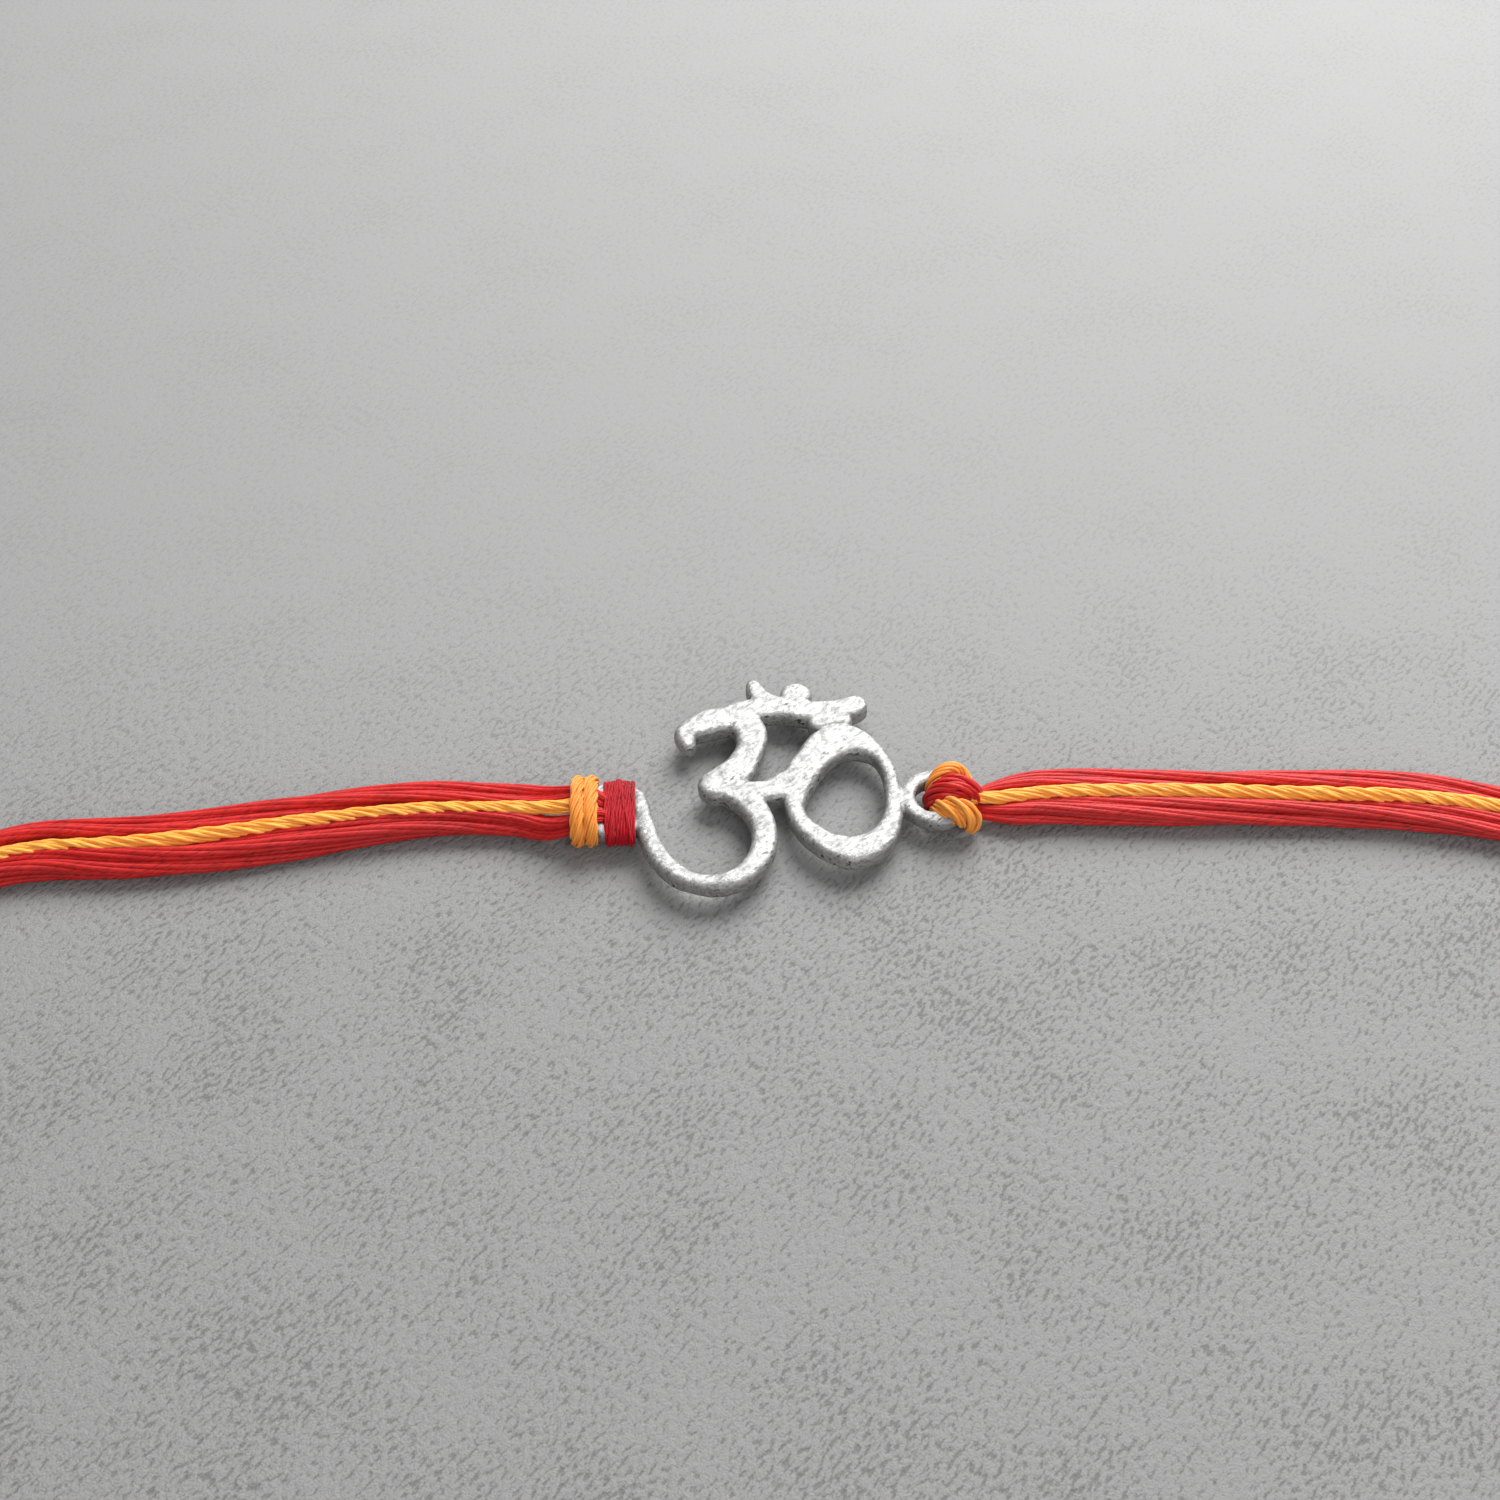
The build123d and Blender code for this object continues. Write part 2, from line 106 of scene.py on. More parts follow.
# How the threads gather where they go into the knot
KNOT_SIDE = 0.50          # of their distance from the middle thread
KNOT_SIZE = 0.78          # of their width and height
KNOT_RISE = 0.85          # middle of the threads there, above where they lie


def nurbs_points(control, spacing, closed=False):
    """Evenly spaced points, in millimetres, on a smooth curve through the control points.
    Each control point is x, y, z, width and height."""
    sampled = []
    for columns in ((0, 1, 2), (3, 4)):
        curve = bpy.data.curves.new("line", "CURVE")
        curve.dimensions = "3D"
        curve.resolution_u = 24
        spline = curve.splines.new("NURBS")
        spline.points.add(len(control) - 1)
        for point, row in zip(spline.points, control):
            value = [row[c] for c in columns] + [0.0] * (3 - len(columns))
            point.co = (*value, 1)
        spline.order_u = 3
        spline.use_cyclic_u = closed
        spline.use_endpoint_u = not closed
        holder = bpy.data.objects.new("line", curve)
        mesh = bpy.data.meshes.new_from_object(holder)
        values = np.empty(len(mesh.vertices) * 3)
        mesh.vertices.foreach_get("co", values)
        values = values.reshape(-1, 3)
        if closed:
            values = np.vstack([values, values[:1]])
        sampled.append(values)
        bpy.data.meshes.remove(mesh)
        bpy.data.objects.remove(holder)
        bpy.data.curves.remove(curve)
    place, size = sampled
    run = np.concatenate([[0], np.cumsum(np.linalg.norm(np.diff(place, axis=0), axis=1))])
    count = max(4, int(run[-1] / spacing) + 1)
    at = np.linspace(0, run[-1], count + 1 if closed else count)
    if closed:
        at = at[:-1]
    place = np.stack([np.interp(at, run, place[:, k]) for k in range(3)], 1)
    size = np.stack([np.interp(at, run, size[:, k]) for k in range(2)], 1)
    return at, place, size, run[-1]


def frames_along(place, first_side):
    """Directions to the side of a line and up from it, turning as little as they can."""
    ahead = np.gradient(place, axis=0)
    ahead /= np.linalg.norm(ahead, axis=1)[:, None]
    side = np.empty_like(place)
    current = np.array(first_side, float)
    for i, direction in enumerate(ahead):
        current = current - direction * current.dot(direction)
        current /= np.linalg.norm(current)
        side[i] = current
    return side, np.cross(ahead, side)


def frames_round(place):
    """Directions to the side of a closed line and up from it, with its side along x."""
    ahead = np.roll(place, -1, axis=0) - np.roll(place, 1, axis=0)
    ahead /= np.linalg.norm(ahead, axis=1)[:, None]
    side = np.tile((1.0, 0.0, 0.0), (len(place), 1))
    side = side - ahead * (side * ahead).sum(axis=1)[:, None]
    side /= np.linalg.norm(side, axis=1)[:, None]
    return side, np.cross(ahead, side)


def open_line(control, spacing, first_side=(0, 1, 0)):
    """An open thread's points, with their directions to its side and up."""
    at, place, size, length = nurbs_points(control, spacing)
    side, up = frames_along(place, first_side)
    return at, place, size, side, up, length


def closed_line(control, spacing):
    """A closed turn's points, with their directions to its side and up."""
    at, place, size, length = nurbs_points(control, spacing, closed=True)
    side, up = frames_round(place)
    return at, place, size, side, up, length


def strand_control(route, lie, word, hitch):
    """Control points of one thread: its hitch, then its place beside the route."""
    points = [Vector((x / MM, y / MM)) for x, y in route]
    rows = list(hitch)
    for i, point in enumerate(points):
        run = points[min(i + 1, len(points) - 1)] - points[max(i - 1, 0)]
        run.normalize()
        outward = Vector((-run.y, run.x)) if points[0].x > 0 else Vector((run.y, -run.x))
        back, orange, lift, front, width = lie[i] if i < len(lie) else (0, 0, 0, 0, RED_WIDTH)
        high = RED_HIGH
        if word == "back":
            moved, height, width = point + outward * (RED_ASIDE + back), RED_HEIGHT, RED_WIDTH
        elif word == "front":
            moved, height = point - outward * (RED_ASIDE - front), RED_HEIGHT
        else:
            moved, height = point + outward * orange, ORANGE_HEIGHT + lift
            width, high = ORANGE_THREAD, ORANGE_THREAD
        if i == len(points) - 1:
            moved = point + (moved - point) * KNOT_SIDE
            height += KNOT_RISE
            width, high = width * KNOT_SIZE, high * KNOT_SIZE
        rows.append((moved.x, moved.y, height, width, high))
    return rows


# Bundles of fine threads

class Yarn:
    """Where one yarn of a thread lies in the section, how it winds, and its fine plies."""

    def __init__(
        self, angle, reach, radius, lay, plies=1, ply_lay=3.0, drift=0.0, wave=9.0, seed=0.0
    ):
        self.angle = angle
        self.reach = reach
        self.radius = radius
        self.lay = lay
        self.plies = plies
        self.ply_lay = ply_lay
        self.drift = drift
        self.wave = wave
        self.seed = seed


# Yarns of each thread: reach, radius, lay, plies, lay of the plies, drift and its wave
WINDING_YARNS = (0.46, 0.52, 4.0)
BIGHT_YARNS = (0.58, 0.42, 6.2, 3, 4.0, 0.05, 5)
ORANGE_LEG_YARNS = (0.58, 0.42, 6.0, 3, 4.5, 0.06, 4)
RED_LEG_YARNS = (0.58, 0.42, 14.0, 3, 4.5, 0.06, 4)
LOOSE_YARNS = (0.46, 0.50, 4.5)
COIL_YARNS = (0.55, 0.44, 15.0, 6, 9.0, 0.1, 6)


def even_yarns(count, seed, step, shape, turned=0.0):
    """Yarns spaced evenly round the thread, alike but for their seeds, a step apart."""
    return [
        Yarn(2 * math.pi * k / count + turned, *shape, seed=seed + step * k)
        for k in range(count)
    ]


# Radius of a ply and its distance from the yarn's middle, as shares of the yarn's radius
FEW_PLIES = (0.60, 0.48)
MANY_PLIES = (0.50, 0.54)
MANY = 4


def lay_yarns(name, line, yarns, closed=False, core=0.0):
    """Makes a mesh of every ply of every yarn, wound about the thread's line. The UV map
    runs in millimetres along a ply, and once round it from a number of the ply's own."""
    at, place, size, side, up, length = line
    curve = bpy.data.curves.new(name, "CURVE")
    curve.dimensions = "3D"
    curve.bevel_depth = 1.0
    curve.bevel_resolution = 1
    curve.use_fill_caps = not closed
    half = size / 2
    lines = []
    if core:
        lines.append((place, core * half.min(axis=1)))
    for yarn in yarns:
        drift = np.array([noise.noise((yarn.seed, s / yarn.wave, 0.3)) for s in at])
        swell = np.array([noise.noise((yarn.seed + 9.7, s / yarn.wave, 4.1)) for s in at])
        if closed:
            drift *= np.sin(math.pi * at / length)
            swell *= np.sin(math.pi * at / length)
        turn = yarn.angle + yarn.drift * drift * 2.0
        if yarn.lay:
            turns = length / yarn.lay
            turn = turn + 2 * math.pi * (round(turns) if closed else turns) * at / length
        reach = yarn.reach * (1 + 0.6 * yarn.drift * swell)
        across = reach * np.cos(turn)
        lift = reach * np.sin(turn)
        for k in range(yarn.plies):
            ply_across, ply_lift, ply_radius = across, lift, yarn.radius
            if yarn.plies > 1:
                ply_turns = length / yarn.ply_lay
                if closed:
                    ply_turns = max(1, round(ply_turns))
                inner = yarn.seed + 2 * math.pi * (k / yarn.plies + ply_turns * at / length)
                ply_share, out_share = FEW_PLIES if yarn.plies < MANY else MANY_PLIES
                ply_radius = yarn.radius * ply_share
                out = yarn.radius * out_share
                ply_across = across + out * np.cos(inner)
                ply_lift = lift + out * np.sin(inner)
            middle = place + side * (half[:, 0] * ply_across)[:, None]
            middle = middle + up * (half[:, 1] * ply_lift)[:, None]
            lines.append((middle, ply_radius * half.min(axis=1) * (1 + 0.15 * swell)))
    for middle, radius in lines:
        spline = curve.splines.new("POLY")
        spline.points.add(len(middle) - 1)
        flat = np.ones((len(middle), 4))
        flat[:, :3] = middle
        spline.points.foreach_set("co", flat.ravel())
        spline.points.foreach_set("radius", radius)
        spline.use_cyclic_u = closed
    holder = bpy.data.objects.new(name, curve)
    mesh = bpy.data.meshes.new_from_object(holder)
    bpy.data.objects.remove(holder)
    bpy.data.curves.remove(curve)
    ply_uv(mesh, length, len(lines))
    return mesh


def ply_uv(mesh, length, lines):
    """UVs in millimetres along each ply, and once round it from a number of its own."""
    layer = mesh.uv_layers[0]
    values = np.empty(len(mesh.loops) * 2, dtype=np.float32)
    layer.data.foreach_get("uv", values)
    values = values.reshape(-1, 2)
    owner = np.empty(len(mesh.loops), dtype=np.int32)
    mesh.loops.foreach_get("vertex_index", owner)
    values[:, 0] *= length
    values[:, 1] += owner * lines // len(mesh.vertices)
    layer.data.foreach_set("uv", values.ravel())
    layer.name = "yarn"


def finish_piece(name, meshes, material, replaces=()):
    """Joins meshes drawn in millimetres to one piece in metres that rides on the part."""
    joined = bmesh.new()
    for mesh in meshes:
        joined.from_mesh(mesh)
        bpy.data.meshes.remove(mesh)
    bmesh.ops.scale(joined, vec=(MM, MM, MM), verts=joined.verts)
    mesh = bpy.data.meshes.new(name)
    joined.to_mesh(mesh)
    joined.free()
    mesh.polygons.foreach_set("use_smooth", [True] * len(mesh.polygons))
    piece = bpy.data.objects.new(name, mesh)
    bpy.context.scene.collection.objects.link(piece)
    mesh.materials.append(material)
    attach(piece, "root")
    if replaces:
        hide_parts(*replaces)


def red_yarns(seed, lay=85.0):
    """A soft bundle: four yarns of fine plies that hardly wind round each other."""
    rng = random.Random(seed)
    yarns = []
    for i in range(4):
        angle = 2 * math.pi * (i + rng.uniform(-0.1, 0.1)) / 4 + seed
        radius = rng.uniform(0.40, 0.46)
        yarns.append(Yarn(
            angle, 0.98 - radius, radius, lay, 6, 34.0, 0.14, rng.uniform(8, 13), seed + i * 3.1
        ))
    return yarns


def orange_yarns(seed):
    """A firm thread: plies wound round each other."""
    rng = random.Random(seed)
    return [
        Yarn(
            2 * math.pi * i / 5, 0.58 + rng.uniform(-0.04, 0.04), rng.uniform(0.38, 0.43),
            10.5, 3, 5.0, 0.06, 5, seed + i * 2.3
        )
        for i in range(5)
    ]


# Materials

def new_material(name, roughness, metallic=0.0):
    material = bpy.data.materials.new(name)
    material.use_nodes = True
    shader = material.node_tree.nodes["Principled BSDF"]
    shader.inputs["Roughness"].default_value = roughness
    shader.inputs["Metallic"].default_value = metallic
    return material, material.node_tree, shader


def socket_group(name, inputs, outputs):
    group = bpy.data.node_groups.new(name, "ShaderNodeTree")
    for label, kind, value in inputs:
        socket = group.interface.new_socket(label, in_out="INPUT", socket_type=kind)
        socket.default_value = value
    for label, kind in outputs:
        group.interface.new_socket(label, in_out="OUTPUT", socket_type=kind)
    return group, group.nodes.new("NodeGroupInput"), group.nodes.new("NodeGroupOutput")


def math_node(tree, operation, *values, clamp=False):
    node = tree.nodes.new("ShaderNodeMath")
    node.operation = operation
    node.use_clamp = clamp
    for i, value in enumerate(values):
        if hasattr(value, "is_output"):
            tree.links.new(value, node.inputs[i])
        else:
            node.inputs[i].default_value = value
    return node.outputs[0]


def mix_colour(tree, factor, first, second, blend="MIX"):
    node = tree.nodes.new("ShaderNodeMix")
    node.data_type = "RGBA"
    node.blend_type = blend
    # Inputs 6 and 7 are the two colours of a colour mix
    for index, value in ((0, factor), (6, first), (7, second)):
        socket = node.inputs[index]
        if hasattr(value, "is_output"):
            tree.links.new(value, socket)
        else:
            socket.default_value = value
    return node.outputs[2]


def ramp(tree, value, stops):
    """A smooth step: from low, from high, to low and to high."""
    node = tree.nodes.new("ShaderNodeMapRange")
    node.interpolation_type = "SMOOTHSTEP"
    tree.links.new(value, node.inputs[0])
    for i, stop in enumerate(stops):
        node.inputs[1 + i].default_value = stop
    return node.outputs[0]


def turned_noise(tree, place, angle, scale, detail, stretch, roughness):
    """Noise that is stretched along a direction in the floor's plane."""
    turn = tree.nodes.new("ShaderNodeMapping")
    turn.vector_type = "TEXTURE"
    turn.inputs["Rotation"].default_value = (0, 0, angle)
    turn.inputs["Scale"].default_value = stretch
    tree.links.new(place, turn.inputs["Vector"])
    node = tree.nodes.new("ShaderNodeTexNoise")
    node.inputs["Scale"].default_value = scale
    node.inputs["Detail"].default_value = detail
    node.inputs["Roughness"].default_value = roughness
    tree.links.new(turn.outputs[0], node.inputs["Vector"])
    return node.outputs[0]


FIBRES = 9.0              # streaks of fibre round one ply


def yarn_group():
    """Colour and height of satin yarn, from the yarn's own UVs, with painted shade between the
    fibres and a painted highlight along them.
    """
    group, given, result = socket_group(
        "satin yarn",
        [
            ("Colour", "NodeSocketColor", (1, 0, 0, 1)),
            ("Shade", "NodeSocketColor", (0.5, 0, 0, 1)),
            ("Bright", "NodeSocketColor", (1, 0.3, 0.2, 1)),
            ("Slant", "NodeSocketFloat", 0.4),
            ("Fibres", "NodeSocketFloat", FIBRES),
        ],
        [("Colour", "NodeSocketColor"), ("Height", "NodeSocketFloat")],
    )
    links = group.links
    uv = group.nodes.new("ShaderNodeUVMap")
    uv.uv_map = "yarn"
    split = group.nodes.new("ShaderNodeSeparateXYZ")
    links.new(uv.outputs[0], split.inputs[0])
    along, around = split.outputs[0], split.outputs[1]
    slanted = math_node(group, "MULTIPLY", along, given.outputs["Slant"])
    wound = math_node(group, "ADD", around, slanted)
    fine = math_node(group, "MULTIPLY", wound, given.outputs["Fibres"])
    stretched = math_node(group, "MULTIPLY", along, 0.55)
    join = group.nodes.new("ShaderNodeCombineXYZ")
    links.new(fine, join.inputs[0])
    links.new(stretched, join.inputs[1])
    fibre = group.nodes.new("ShaderNodeTexNoise")
    fibre.inputs["Scale"].default_value = 1.0
    fibre.inputs["Detail"].default_value = 2.0
    links.new(join.outputs[0], fibre.inputs["Vector"])
    place = group.nodes.new("ShaderNodeTexCoord")
    patches = group.nodes.new("ShaderNodeTexNoise")
    patches.inputs["Scale"].default_value = 420.0
    patches.inputs["Detail"].default_value = 2.0
    links.new(place.outputs["Object"], patches.inputs["Vector"])
    # Painted shade in the creases between the fibres (dark) and a painted highlight along the
    # palest fibres (light), both from the fibre noise
    dark = ramp(group, fibre.outputs[0], (0.30, 0.52, 1.0, 0.0))
    light = ramp(group, fibre.outputs[0], (0.52, 0.72, 0.0, 0.5))
    patch = ramp(group, patches.outputs[0], (0.35, 0.65, 0.0, 0.25))
    colour = mix_colour(group, dark, given.outputs["Colour"], given.outputs["Shade"])
    colour = mix_colour(group, light, colour, given.outputs["Bright"])
    colour = mix_colour(group, patch, colour, given.outputs["Shade"])
    links.new(colour, result.inputs["Colour"])
    links.new(fibre.outputs[0], result.inputs["Height"])
    return group


THREADS = {
    # colour, painted shade between the fibres, painted highlight on the fibres, slant of the
    # fibres, shine
    "red thread": ((0.60, 0.010, 0.009), (0.30, 0.002, 0.003), (0.80, 0.040, 0.028), 0.4, 0.35),
    "orange thread": ((1.0, 0.48, 0.078), (0.92, 0.31, 0.022), (1.0, 0.66, 0.20), 0.3, 0.35),
    # The same orange thread, in a darker copy for its turns round the rings: painted shade
    "wound orange thread in painted shade": (
        (0.92, 0.35, 0.050), (0.66, 0.17, 0.011), (1.0, 0.54, 0.15), 0.3, 0.35
    ),
    "crimson thread": (
        (0.46, 0.003, 0.012), (0.20, 0.001, 0.004), (0.66, 0.012, 0.028), 0.4, 0.16
    ),
}


def thread_material(name, group, colour, shade, painted_highlight, slant, shine):
    material, tree, shader = new_material(name, 0.50)
    shader.inputs["Sheen Weight"].default_value = 0.10
    shader.inputs["Sheen Roughness"].default_value = 0.4
    shader.inputs["Specular IOR Level"].default_value = shine
    node = tree.nodes.new("ShaderNodeGroup")
    node.node_tree = group
    node.inputs["Colour"].default_value = (*colour, 1)
    node.inputs["Shade"].default_value = (*shade, 1)
    # Colour of the painted highlight, laid on the palest fibres
    node.inputs["Bright"].default_value = (*painted_highlight, 1)
    node.inputs["Slant"].default_value = slant
    node.inputs["Fibres"].default_value = FIBRES
    tree.links.new(node.outputs["Colour"], shader.inputs["Base Color"])
    lift = tree.nodes.new("ShaderNodeBump")
    lift.inputs["Strength"].default_value = 0.5
    lift.inputs["Distance"].default_value = 0.00006
    tree.links.new(node.outputs["Height"], lift.inputs["Height"])
    tree.links.new(lift.outputs[0], shader.inputs["Normal"])
    return material


SILVER = (0.50, 0.50, 0.495, 1)
SILVER_STREAK = (0.17, 0.17, 0.17, 1)
# Dark tarnish of the pits, also used as painted shade down the walls
TARNISH_AND_SHADE = (0.085, 0.081, 0.078, 1)


def cast_silver_material():
    """Bright cast white metal with a brushed grain, dark with tarnish in its pits, and painted
    shade down its walls.
    """
    material, tree, shader = new_material("cast silver", 0.56, 0.7)
    texture = tree.nodes.new("ShaderNodeTexCoord")
    place = texture.outputs["Object"]

    def speckle(scale, detail, stretch=(1, 1, 1)):
        return turned_noise(tree, place, 0.6, scale, detail, stretch, 0.6)

    broad = ramp(tree, speckle(520, 3.0), (0.44, 0.70, 0.0, 1.0))
    grain = speckle(2500, 4.0, (2.0, 0.8, 0.8))
    fine = speckle(4800, 2.0)
    facing = tree.nodes.new("ShaderNodeSeparateXYZ")
    tree.links.new(texture.outputs["Normal"], facing.inputs[0])
    # Painted shade down the walls: the more sideways a face turns, the more of the dark colour it
    # is given
    painted_wall_shade = ramp(tree, math_node(tree, "ABSOLUTE", facing.outputs[2]), (0.25, 0.90, 1.0, 0.0))
    pits = ramp(tree, grain, (0.52, 0.66, 0.0, 1.0))
    brushed = math_node(tree, "MULTIPLY_ADD", broad, 0.10, grain)
    streaks = ramp(tree, brushed, (0.36, 0.66, 1.0, 0.0))
    tarnish_and_wall_shade = math_node(tree, "MULTIPLY", pits, math_node(tree, "MULTIPLY_ADD", broad, 0.7, 0.12))
    wall_pits_and_shade = math_node(tree, "MULTIPLY_ADD", pits, 0.55, 0.05)
    # Tarnish in the pits, with painted shade added down the walls
    tarnish_and_wall_shade = math_node(tree, "MULTIPLY_ADD", painted_wall_shade, wall_pits_and_shade, tarnish_and_wall_shade, clamp=True)
    colour = mix_colour(tree, math_node(tree, "MULTIPLY", streaks, 0.72), SILVER, SILVER_STREAK)
    colour = mix_colour(tree, tarnish_and_wall_shade, colour, TARNISH_AND_SHADE)
    tree.links.new(colour, shader.inputs["Base Color"])
    rough = math_node(tree, "MULTIPLY_ADD", tarnish_and_wall_shade, 0.15, 0.56)
    tree.links.new(rough, shader.inputs["Roughness"])
    height = math_node(tree, "MULTIPLY_ADD", grain, 0.7, math_node(tree, "MULTIPLY", fine, 0.3))
    lift = tree.nodes.new("ShaderNodeBump")
    lift.inputs["Strength"].default_value = 0.8
    lift.inputs["Distance"].default_value = 0.00016
    tree.links.new(height, lift.inputs["Height"])
    tree.links.new(lift.outputs[0], shader.inputs["Normal"])
    return material


# Cast charm

VOXEL = 0.11
BROAD_LUMPS = 0.07
FINE_LUMPS = 0.045
PIT_DEPTH = 0.06
PIT_EDGE = 0.28           # noise above this is a pit
GROWN = 0.035             # after smoothing, so the surface ends about 0.03 outside the CAD's


def make_charm(material):
    """The CAD casting, made round and lumpy as a casting is."""
    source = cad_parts["om_charm"]
    cast = bmesh.new()
    cast.from_mesh(source.data)
    bmesh.ops.scale(cast, vec=(1 / MM,) * 3, verts=cast.verts)
    bmesh.ops.remove_doubles(cast, verts=cast.verts, dist=0.002)
    mesh = bpy.data.meshes.new("om_cast")
    cast.to_mesh(mesh)
    cast.free()
    piece = bpy.data.objects.new("om_cast", mesh)
    bpy.context.scene.collection.objects.link(piece)
    voxels = piece.modifiers.new("voxels", "REMESH")
    voxels.mode = "VOXEL"
    voxels.voxel_size = VOXEL
    even = piece.modifiers.new("even", "SMOOTH")
    even.factor = 0.5
    even.iterations = 5
    depsgraph = bpy.context.evaluated_depsgraph_get()
    finished = bpy.data.meshes.new_from_object(piece.evaluated_get(depsgraph))
    bpy.data.objects.remove(piece)
    bpy.data.meshes.remove(mesh)
    cast = bmesh.new()
    cast.from_mesh(finished)
    cast.normal_update()
    for vert in cast.verts:
        at = vert.co
        lump = noise.noise(at * 0.55) * BROAD_LUMPS
        lump += noise.noise(at * 1.6 + Vector((7, 3, 1))) * FINE_LUMPS
        pit = noise.noise(at * 4.2 + Vector((2, 9, 5)))
        lump -= PIT_DEPTH * max(0.0, pit - PIT_EDGE)
        vert.co = at + vert.normal * (lump + GROWN)
    cast.to_mesh(finished)
    cast.free()
    finish_piece("om_casting", [finished], material, ["om_charm"])


# Strands

LEFT_HITCH = {
    # x, y, z, width, height, from the ring's hole to the start of the route
    "back": [
        (-9.75, 0.62, 1.45, 1.10, 0.80), (-10.60, 0.62, 1.62, 1.20, 0.85),
        (-11.15, 0.66, 2.02, 1.30, 0.90), (-11.65, 0.80, 2.36, 1.35, 0.90),
        (-12.30, 1.10, 2.50, 1.25, 0.85), (-12.95, 1.28, 2.38, 1.35, 0.95),
        (-14.0, 1.45, 1.98, 1.60, 1.15), (-15.3, 1.75, 1.35, 2.10, 1.60),
    ],
    "orange": [
        (-10.90, 0.05, 1.20, 0.70, 0.60), (-11.35, 0.05, 1.30, 0.75, 0.65),
        (-11.70, 0.02, 1.75, 0.90, 0.75), (-12.05, 0.00, 2.35, 1.00, 0.78),
        (-12.45, 0.0, 2.60, 1.00, 0.78), (-13.00, 0.00, 2.55, 1.02, 0.82),
        (-14.2, 0.10, 2.30, 1.02, 0.90), (-15.5, 0.30, 1.98, 1.02, 0.98),
    ],
    "front": [
        (-9.75, -0.58, 1.45, 1.10, 0.80), (-10.60, -0.58, 1.62, 1.20, 0.85),
        (-11.15, -0.64, 2.02, 1.30, 0.90), (-11.65, -0.82, 2.36, 1.35, 0.90),
        (-12.30, -1.16, 2.48, 1.30, 0.90), (-12.95, -1.32, 2.20, 1.55, 1.10),
        (-14.0, -1.26, 1.70, 1.80, 1.40), (-15.3, -0.96, 1.25, 2.05, 1.70),
    ],
}
RIGHT_HITCH = {
    "back": [
        (13.90, 0.45, 0.95, 1.00, 1.00), (14.7, 0.72, 0.95, 1.20, 1.20),
        (15.6, 1.02, 0.96, 1.50, 1.45), (17.2, 1.36, 1.00, 2.10, 1.80),
    ],
    "orange": [
        (13.90, -0.10, 1.75, 0.94, 0.94), (14.8, -0.16, 1.78, 0.96, 0.96),
        (15.8, -0.20, 1.76, 1.00, 1.00), (17.5, 0.00, 1.68, 1.02, 1.02),
    ],
    "front": [
        (13.90, -0.45, 0.90, 1.00, 1.00), (14.7, -0.72, 0.92, 1.20, 1.20),
        (15.6, -0.92, 0.95, 1.50, 1.45), (17.2, -0.98, 1.00, 2.10, 1.80),
    ],
}


def strand_piece(name, control, yarns, material, replaces, core, spacing):
    mesh = lay_yarns(name, open_line(control, spacing), yarns, core=core)
    finish_piece(name, [mesh], material, replaces)


def make_strands(red, orange):
    for part, route, hitches, lie in (
        ("left", LEFT_ROUTE, LEFT_HITCH, LEFT_LIE), ("right", RIGHT_ROUTE, RIGHT_HITCH, RIGHT_LIE)
    ):
        for word, node, seed in (
            ("back", "back", 3.0), ("orange", "middle", 14.0), ("front", "front", 25.0)
        ):
            seed += 41.0 if part == "right" else 0.0
            control = strand_control(route, lie, word, hitches[word])
            replaced = [part + "_" + node + "_strand"]
            if word == "orange":
                strand_piece(
                    part + "_orange_thread", control, orange_yarns(seed),
                    orange, replaced, core=0.4, spacing=0.33
                )
            else:
                strand_piece(
                    part + "_" + word + "_red_thread", control, red_yarns(seed),
                    red, replaced, core=0.55, spacing=0.5
                )


# Bands over the left ring

RING_MIDDLE = 1.5         # above the floor
WINDING_TURNS = 9
WINDING_X = -10.10        # middle of the winding
WINDING_WIDTH = 2.04
WINDING_REACH = 2.80      # from the middle to the thread beside the ring's arms
WINDING_DROP = 0.93       # from the ring's middle to the thread above and below it
WINDING_NARROWED = 0.10   # what the outermost turns lose of both
WINDING_THREAD = (0.37, 0.30)  # width and height
CROSSING_TURNS = ((-10.45, 0.40), (-9.80, -0.46))  # x and slant
BIGHT_TURNS = ((-12.92, 0.05), (-12.03, 0.05))


def band_loop(centre_x, half_y, low, high, wide, thick, slant=0.0, bow=0.0, spacing=0.2):
    """One turn of thread round the ring's arms, as a closed line."""
    middle = (low + high) / 2
    half_z = (high - low) / 2
    control = []
    for degrees in range(0, 360, 30):
        turn = math.radians(degrees)
        across, lift = math.cos(turn), math.sin(turn)
        square = max(abs(across), abs(lift)) ** -0.35
        x = centre_x + slant * across + bow * lift
        control.append((x, half_y * across * square, middle + half_z * lift * square, wide, thick))
    return closed_line(control, spacing)


